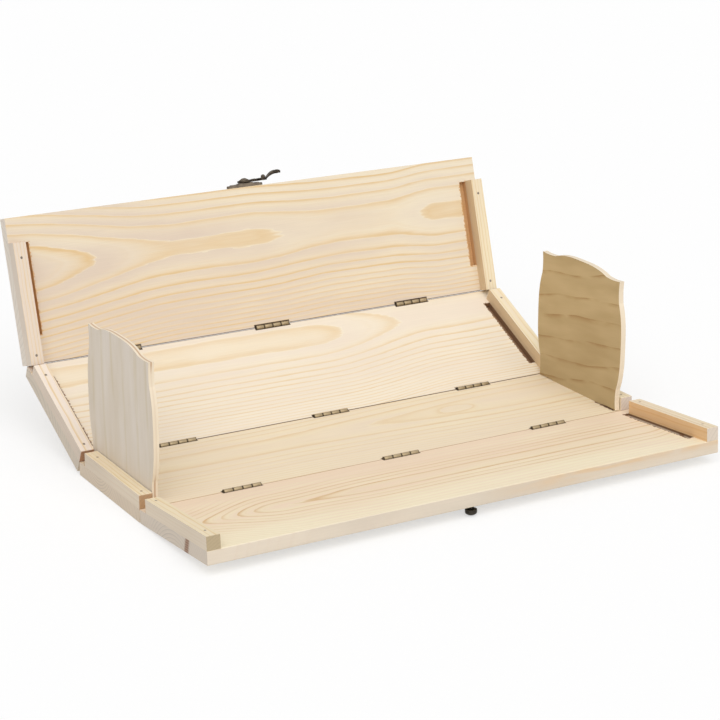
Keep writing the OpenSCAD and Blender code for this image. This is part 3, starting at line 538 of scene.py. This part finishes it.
def rolled_leaf(first):
    """One leaf in its board's own frame: y away from the seam, its first knuckle's number given."""
    form = bmesh.new()
    outer = knuckle_d / 2
    inner = pin_d / 2 + 0.06
    top = axis_h - outer - knuckle_gap
    block(form, (-hinge_l / 2, seam_half, -leaf_h), (hinge_l / 2, seam_half + leaf_t, top))
    for number in (first, first + 2):
        x0 = -hinge_l / 2 + number * knuckle_pitch + knuckle_gap / 2
        x1 = x0 + knuckle_pitch - knuckle_gap
        block(form, (x0, seam_half, top - leaf_t), (x1, seam_half + leaf_t, axis_h - outer + leaf_t / 2))
        corners = [form.verts.new((x, cos(roll_from) * r, axis_h + sin(roll_from) * r))
                   for x, r in ((x0, inner), (x1, inner), (x1, outer), (x0, outer))]
        strip = form.faces.new(corners)
        bmesh.ops.spin(form, geom=[strip, *strip.edges, *strip.verts], cent=(0, 0, axis_h), axis=(1, 0, 0),
                       angle=roll_turn, steps=28)
    soften(form, 0.09)
    return form


leaf_kinds = [
    ("front_hinge_{}_bottom_leaf", ON_BOTTOM, "bottom", -half_bottom, 1, 0),
    ("front_hinge_{}_front_leaf", ON_FRONT, "front", 0, -1, 1),
    ("back_hinge_{}_bottom_leaf", ON_BOTTOM, "bottom", half_bottom, -1, 0),
    ("back_hinge_{}_back_leaf", ON_BACK, "back", 0, 1, 1),
    ("lid_hinge_{}_back_leaf", ON_BACK, "back", back_w, -1, 0),
    ("lid_hinge_{}_lid_leaf", ON_LID, "lid", 0, 1, 1),
]
pin_kinds = [("front_hinge", "bottom"), ("back_hinge", "bottom"), ("lid_hinge", "back")]
for number, place_x in enumerate((-hinge_pitch, 0, hinge_pitch), 1):
    for kind, laid_as, body, seam_y, away, first in leaf_kinds:
        node = kind.format(number)
        in_place = Matrix.Translation((place_x, seam_y, 0)) @ Matrix.Diagonal((1, away, 1, 1))
        put("rolled_" + node, rolled_leaf(first), standing(laid_as) @ in_place, brass, body,
            [node])
    for seam, body in pin_kinds:
        form = bmesh.new()
        half = hinge_l / 2
        turned(form, [(0, -half), (pin_d * 0.3, -half + 0.05), (pin_d / 2, -half + 0.3),
                      (pin_d / 2, half - 0.3), (pin_d * 0.3, half - 0.05), (0, half)], 20)
        axis = Vector(hinge[seam]["pos_m"]) + Vector((place_x * MM, 0, 0))
        lie = Matrix.Translation(axis) @ Matrix.Rotation(pi / 2, 4, "Y") @ Matrix.Scale(MM, 4)
        put(f"wire_{seam}_{number}_pin", form, lie, brass, body, [f"{seam}_{number}_pin"])

# ---- Clasp base and rivet ----
# A base plate stamped from brass sheet with a raised middle, nailed to the lid's free edge, and the
# domed rivet on which the hook turns. Dipped to a brown bronze, paler on the ridges partly from
# wear and partly as a painted highlight.

clasp_x = -3.0         # along the box, from its middle
lid_w = 94.35          # from the lid's hinge axis to its free edge
base_half_l = 13.0
base_half_w = 3.7
base_t = 1.7
base_rise = 2.9        # height of the raised middle
mound_foot = 7.5
mound_top = 4.0
flute_h = 0.16
hook_z = 3.0           # underside of the hook
hook_t = 1.4
rivet_d = 2.0
rivet_head_r = 3.2
rivet_head_h = 1.5
clasp_place = (standing(ON_LID) @ Matrix.Translation((clasp_x, lid_w, -board_t / 2))
               @ Matrix.Rotation(-pi / 2, 4, "X"))


def bronze(name, dark, pale, wear_and_highlight_tone, roughness, metallic):
    """Cast, turned or stamped metal dipped to a mottled dark bronze, and paler where it stands out:
    partly worn bare, partly a painted highlight.
    """
    material, tree, shader = new_material(name)
    n = partial(add, tree)
    place = n("TexCoord")
    blotch = n("TexNoise", {"Vector": place.outputs["Object"], "Scale": 350.0, "Detail": 4.0}).outputs["Fac"]
    # Paler where the surface is sharpest: partly worn bare, partly a painted highlight.
    wear_and_highlight = n("NewGeometry").outputs["Pointiness"]
    wear_and_highlight = n("MapRange", {0: wear_and_highlight, 1: 0.505, 2: 0.56}).outputs[0]
    wear_and_highlight = n("Math", {0: wear_and_highlight, 1: blotch}, operation="MULTIPLY").outputs[0]
    tone = n("ValToRGB", {0: blotch}, ramp=[(0.3, dark), (0.7, pale)]).outputs[0]
    tone = n("Mix", {0: wear_and_highlight, 6: tone, 7: linear(wear_and_highlight_tone)}, data_type="RGBA").outputs[2]
    tree.links.new(tone, shader.inputs["Base Color"])
    rough = n("MapRange", {0: blotch, 3: roughness - 0.12, 4: roughness + 0.12}).outputs[0]
    tree.links.new(rough, shader.inputs["Roughness"])
    bump = n("Bump", {"Strength": 0.3, "Distance": 0.04 * MM, "Height": blotch}).outputs[0]
    tree.links.new(bump, shader.inputs["Normal"])
    shader.inputs["Metallic"].default_value = metallic
    return material


brown_bronze = bronze("brown_bronze", "#3F352B", "#685A4D", "#857866", roughness=0.55, metallic=0.5)


def smooth(a):
    """A soft step from 0 to 1."""
    a = min(max(a, 0), 1)
    return a * a * (3 - 2 * a)


form = bmesh.new()
sheet = bmesh.ops.create_grid(form, x_segments=72, y_segments=14, size=1.0)["verts"]
for v in sheet:
    along, across = sin(v.co.x * pi / 2), v.co.y
    x = along * base_half_l
    lobe = max(abs(x) - (base_half_l - base_half_w), 0)
    width = (base_half_w ** 2 - lobe ** 2) ** 0.5
    mound = smooth((mound_foot - abs(x)) / (mound_foot - mound_top))
    flute = flute_h * cos(6 * pi * across) * (1 - mound) * (1 - across ** 2)
    rim = 1 - 0.35 * across ** 8
    v.co = (x, across * max(width, 0.01), (base_t + (base_rise - base_t) * mound) * rim + flute)
under = bmesh.ops.extrude_face_region(form, geom=form.faces[:])["geom"]
for v in under:
    if isinstance(v, bmesh.types.BMVert):
        v.co.z = 0
bmesh.ops.remove_doubles(form, verts=form.verts, dist=0.004)
put("stamped_clasp_base", form, clasp_place, brown_bronze, "lid", ["clasp_base"])

form = bmesh.new()
head_z = hook_z + hook_t + 0.1
turned(form, [(0, 0), (rivet_d / 2, 0), (rivet_d / 2, head_z), (rivet_head_r - 0.15, head_z),
              (rivet_head_r, head_z + 0.2), (rivet_head_r - 0.3, head_z + 0.55),
              (rivet_head_r - 0.9, head_z + 0.62), (rivet_head_r - 1.2, head_z + 1.0),
              (1.2, head_z + 1.38), (0.5, head_z + rivet_head_h), (0, head_z + rivet_head_h)], 48)
put("domed_clasp_rivet", form, clasp_place, brown_bronze, "lid", ["clasp_rivet"])

# ---- Hook ----
# Cast bronze hook: an eye on the rivet, a ring open on one side that drops round the knob's neck,
# a ball to push against, and a curled thumb piece shaped like a leaf.

hook_reach = 9.5       # from the rivet to the middle of the ring
eye_r = 4.5
eye_hole_r = rivet_d / 2 + 0.06
notch_r = 2.15         # inside of the ring
ring_r = 4.0
ring_from = radians(-44)
ring_turn = radians(268)
bar_t = 1.8
arm_half_w = 2.0
stem_half_w = 1.4
ball_r = 1.5
ball_x = 14.6
thumb_x = 15.4         # where the thumb piece starts
thumb_l = 12.6
thumb_t = 1.3
thumb_rise = 4.2
thumb_half_w = 2.4
thumb_root_half_w = 1.3
crest = 0.7            # where the thumb piece is highest, as a share of its length

black_bronze = bronze("blackened_bronze", "#1E1915", "#4B4136", "#938A74", roughness=0.4, metallic=0.75)


def cast(form, grain, passes):
    """Melts the overlapping solids of a form, in mm, into one skin with rounded joints."""
    mesh = bpy.data.meshes.new("mould")
    form.to_mesh(mesh)
    form.free()
    mould = bpy.data.objects.new("mould", mesh)
    bpy.context.scene.collection.objects.link(mould)
    melt = mould.modifiers.new("melt", "REMESH")
    melt.mode = "VOXEL"
    melt.voxel_size = grain
    soft = mould.modifiers.new("soft", "SMOOTH")
    soft.factor = 0.5
    soft.iterations = passes
    view = bpy.context.evaluated_depsgraph_get()
    form = bmesh.new()
    form.from_mesh(mould.evaluated_get(view).to_mesh())
    bpy.data.objects.remove(mould)
    return form


form = bmesh.new()
hook_top = hook_z + hook_t
bar_top = hook_z + bar_t
turned(form, [(eye_hole_r, hook_z), (eye_r - 0.2, hook_z), (eye_r, hook_z + 0.3), (eye_r, hook_top + 0.05),
              (eye_r - 0.3, hook_top + 0.15), (eye_r - 1.0, hook_top), (eye_hole_r, hook_top),
              (eye_hole_r, hook_z)], 64)
block(form, (3.0, -arm_half_w, hook_z), (hook_reach - notch_r - 0.35, arm_half_w, hook_top))
corners = [form.verts.new((hook_reach + cos(ring_from) * r, sin(ring_from) * r, z))
           for r, z in ((notch_r, hook_z), (ring_r, hook_z), (ring_r, bar_top), (notch_r, bar_top))]
bar = form.faces.new(corners)
bmesh.ops.spin(form, geom=[bar, *bar.edges, *bar.verts], cent=(hook_reach, 0, 0), axis=(0, 0, 1),
               angle=ring_turn, steps=48)
block(form, (hook_reach + notch_r + 0.35, -stem_half_w, hook_z), (thumb_x + 1.2, stem_half_w, bar_top))
ball = bmesh.ops.create_uvsphere(form, u_segments=32, v_segments=20, radius=ball_r)["verts"]
bmesh.ops.translate(form, vec=(ball_x, 0, bar_top + 0.6), verts=ball)
leaf = bmesh.ops.create_grid(form, x_segments=40, y_segments=16, size=1.0)["verts"]
leaf_faces = {f for v in leaf for f in v.link_faces}
for v in leaf:
    a, across = (v.co.x + 1) / 2, v.co.y
    rise = sin(pi / 2 * min(a / crest, 1)) ** 1.25 - 0.3 * (max(a - crest, 0) / (1 - crest)) ** 2
    width = thumb_root_half_w + (thumb_half_w - thumb_root_half_w) * smooth(a / 0.75)
    width *= (1 - max((a - 0.8) / 0.2, 0) ** 2) ** 0.5
    cup = 0.6 * smooth(a / 0.4) * across ** 2 - 0.2 * cos(across * 4 * pi) * smooth(a / 0.5)
    v.co = (thumb_x + thumb_l * a, across * max(width, 0.05), hook_z + thumb_t + thumb_rise * rise + cup)
sheet = [f for f in form.faces if f in leaf_faces]
under = bmesh.ops.extrude_face_region(form, geom=sheet)["geom"]
for v in under:
    if isinstance(v, bmesh.types.BMVert):
        a = (v.co.x - thumb_x) / thumb_l
        swell = smooth(a * 1.6) * (1 - (v.co.y / thumb_half_w) ** 2)
        v.co.z -= (thumb_t + 0.6 * max(swell, 0)) * (1 - 0.6 * smooth((a - 0.75) / 0.25))
bmesh.ops.recalc_face_normals(form, faces=form.faces)
put("cast_clasp_hook", cast(form, 0.14, 5), clasp_place, black_bronze, "hook", ["clasp_hook"])

nail_from_rivet = 10.0
form = bmesh.new()
for side in (-1, 1):
    start = len(form.verts)
    turned(form, [(0, -2), (0.5, -2), (0.5, base_t), (1.1, base_t - 0.05), (1.15, base_t + 0.15),
                  (0.9, base_t + 0.5), (0.45, base_t + 0.68), (0, base_t + 0.72)], 24)
    form.verts.ensure_lookup_table()
    bmesh.ops.translate(form, vec=(side * nail_from_rivet, 0, 0), verts=form.verts[start:])
put("domed_clasp_nails", form, clasp_place, wire, "lid", ["clasp_base_nails"])

# ---- Catch knob ----
# A turned bronze knob, almost black, screwed into the front board's outer face. The hook's ring
# closes round its neck, and the open front board stands on its domed head.

catch_y = 83.85        # from the front board's hinge axis
neck_r = 1.65
knob_r = 3.6
dark_bronze = bronze("near_black_bronze", "#14100C", "#2A2520", "#57503F", roughness=0.42, metallic=0.6)
form = bmesh.new()
turned(form, [(0, -2), (1.0, -2), (1.0, 0), (2.6, 0), (2.65, 0.12), (1.9, 0.28), (neck_r, 0.6),
              (neck_r, 2.2), (2.1, 2.5), (3.3, 2.55), (3.55, 2.7), (knob_r, 2.95), (3.5, 3.2),
              (knob_r, 3.45), (knob_r, 4.6), (3.45, 5.0), (3.05, 5.36), (2.4, 5.79), (1.6, 6.14),
              (0.8, 6.34), (0, 6.4)], 64)
knob_place = (standing(ON_FRONT) @ Matrix.Translation((clasp_x, -catch_y, -board_t))
              @ Matrix.Rotation(pi, 4, "X"))
put("turned_catch_knob", form, knob_place, dark_bronze, "front", ["catch_knob"])

# ---- Floor, light and camera ----
# White paper on a table, in soft daylight from a large window high in front and a little to the
# left. The paper's own faint glow only shows to the camera and in polished metal.

paper_glow = 0.58
window_from = Vector((-0.22, -0.6, 0.78))
camera_at = Vector((-640.08, -1108.63, 478.23))
camera_heading = radians(-29.866)
camera_pitch = radians(18.189)

floor_mesh = bpy.data.meshes.new("table_top")
form = bmesh.new()
bmesh.ops.create_grid(form, x_segments=1, y_segments=1, size=6.0)
form.to_mesh(floor_mesh)
form.free()
table_top = bpy.data.objects.new("table_top", floor_mesh)
bpy.context.scene.collection.objects.link(table_top)
table_top.location.z = -0.0002
paper, tree, shader = new_material("white_paper")
shader.inputs["Roughness"].default_value = 0.9
shader.inputs["Specular IOR Level"].default_value = 0.1
path = add(tree, "LightPath")
seen = add(tree, "Math", {0: path.outputs["Is Camera Ray"], 1: path.outputs["Is Glossy Ray"]},
           operation="ADD", use_clamp=True)
tone = add(tree, "Mix", {0: seen.outputs[0], 6: linear("#E4E2DE"), 7: (1, 1, 1, 1)}, data_type="RGBA")
tree.links.new(tone.outputs[2], shader.inputs["Base Color"])
glow = add(tree, "Emission", {0: (1, 1, 1, 1), 1: 1.0})
faint = add(tree, "Math", {0: seen.outputs[0], 1: paper_glow}, operation="MULTIPLY")
both = add(tree, "MixShader", {0: faint.outputs[0], 1: shader.outputs[0], 2: glow.outputs[0]})
tree.links.new(both.outputs[0], tree.nodes["Material Output"].inputs["Surface"])
floor_mesh.materials.append(paper)

world = bpy.data.worlds.new("studio")
bpy.context.scene.world = world
world.use_nodes = True
tree = world.node_tree
tree.nodes.clear()
path = add(tree, "LightPath")
seen = add(tree, "Math", {0: path.outputs["Is Camera Ray"], 1: path.outputs["Is Glossy Ray"]},
           operation="ADD")
seen = add(tree, "Math", {0: seen.outputs[0], 1: path.outputs["Is Transmission Ray"]}, operation="ADD",
           use_clamp=True)
level = add(tree, "MapRange", {0: seen.outputs[0], 3: 0.5, 4: 1.0})
sky = add(tree, "Background", {0: (1, 1, 1, 1), 1: level.outputs[0]})
add(tree, "OutputWorld", {"Surface": sky.outputs[0]})

window = bpy.data.lights.new("window", "SUN")
window.energy = 1.95
window.angle = radians(70)
lamp = bpy.data.objects.new("window", window)
lamp.rotation_euler = window_from.to_track_quat("Z", "Y").to_euler()
bpy.context.scene.collection.objects.link(lamp)

camera = bpy.data.cameras.new("camera")
camera.sensor_width = 36
camera.lens = 108.176
eye = bpy.data.objects.new("camera", camera)
eye.location = camera_at * MM
eye.rotation_euler = (pi / 2 - camera_pitch, 0, camera_heading)
bpy.context.scene.collection.objects.link(eye)
bpy.context.scene.camera = eye
bpy.context.scene.view_settings.view_transform = "Standard"
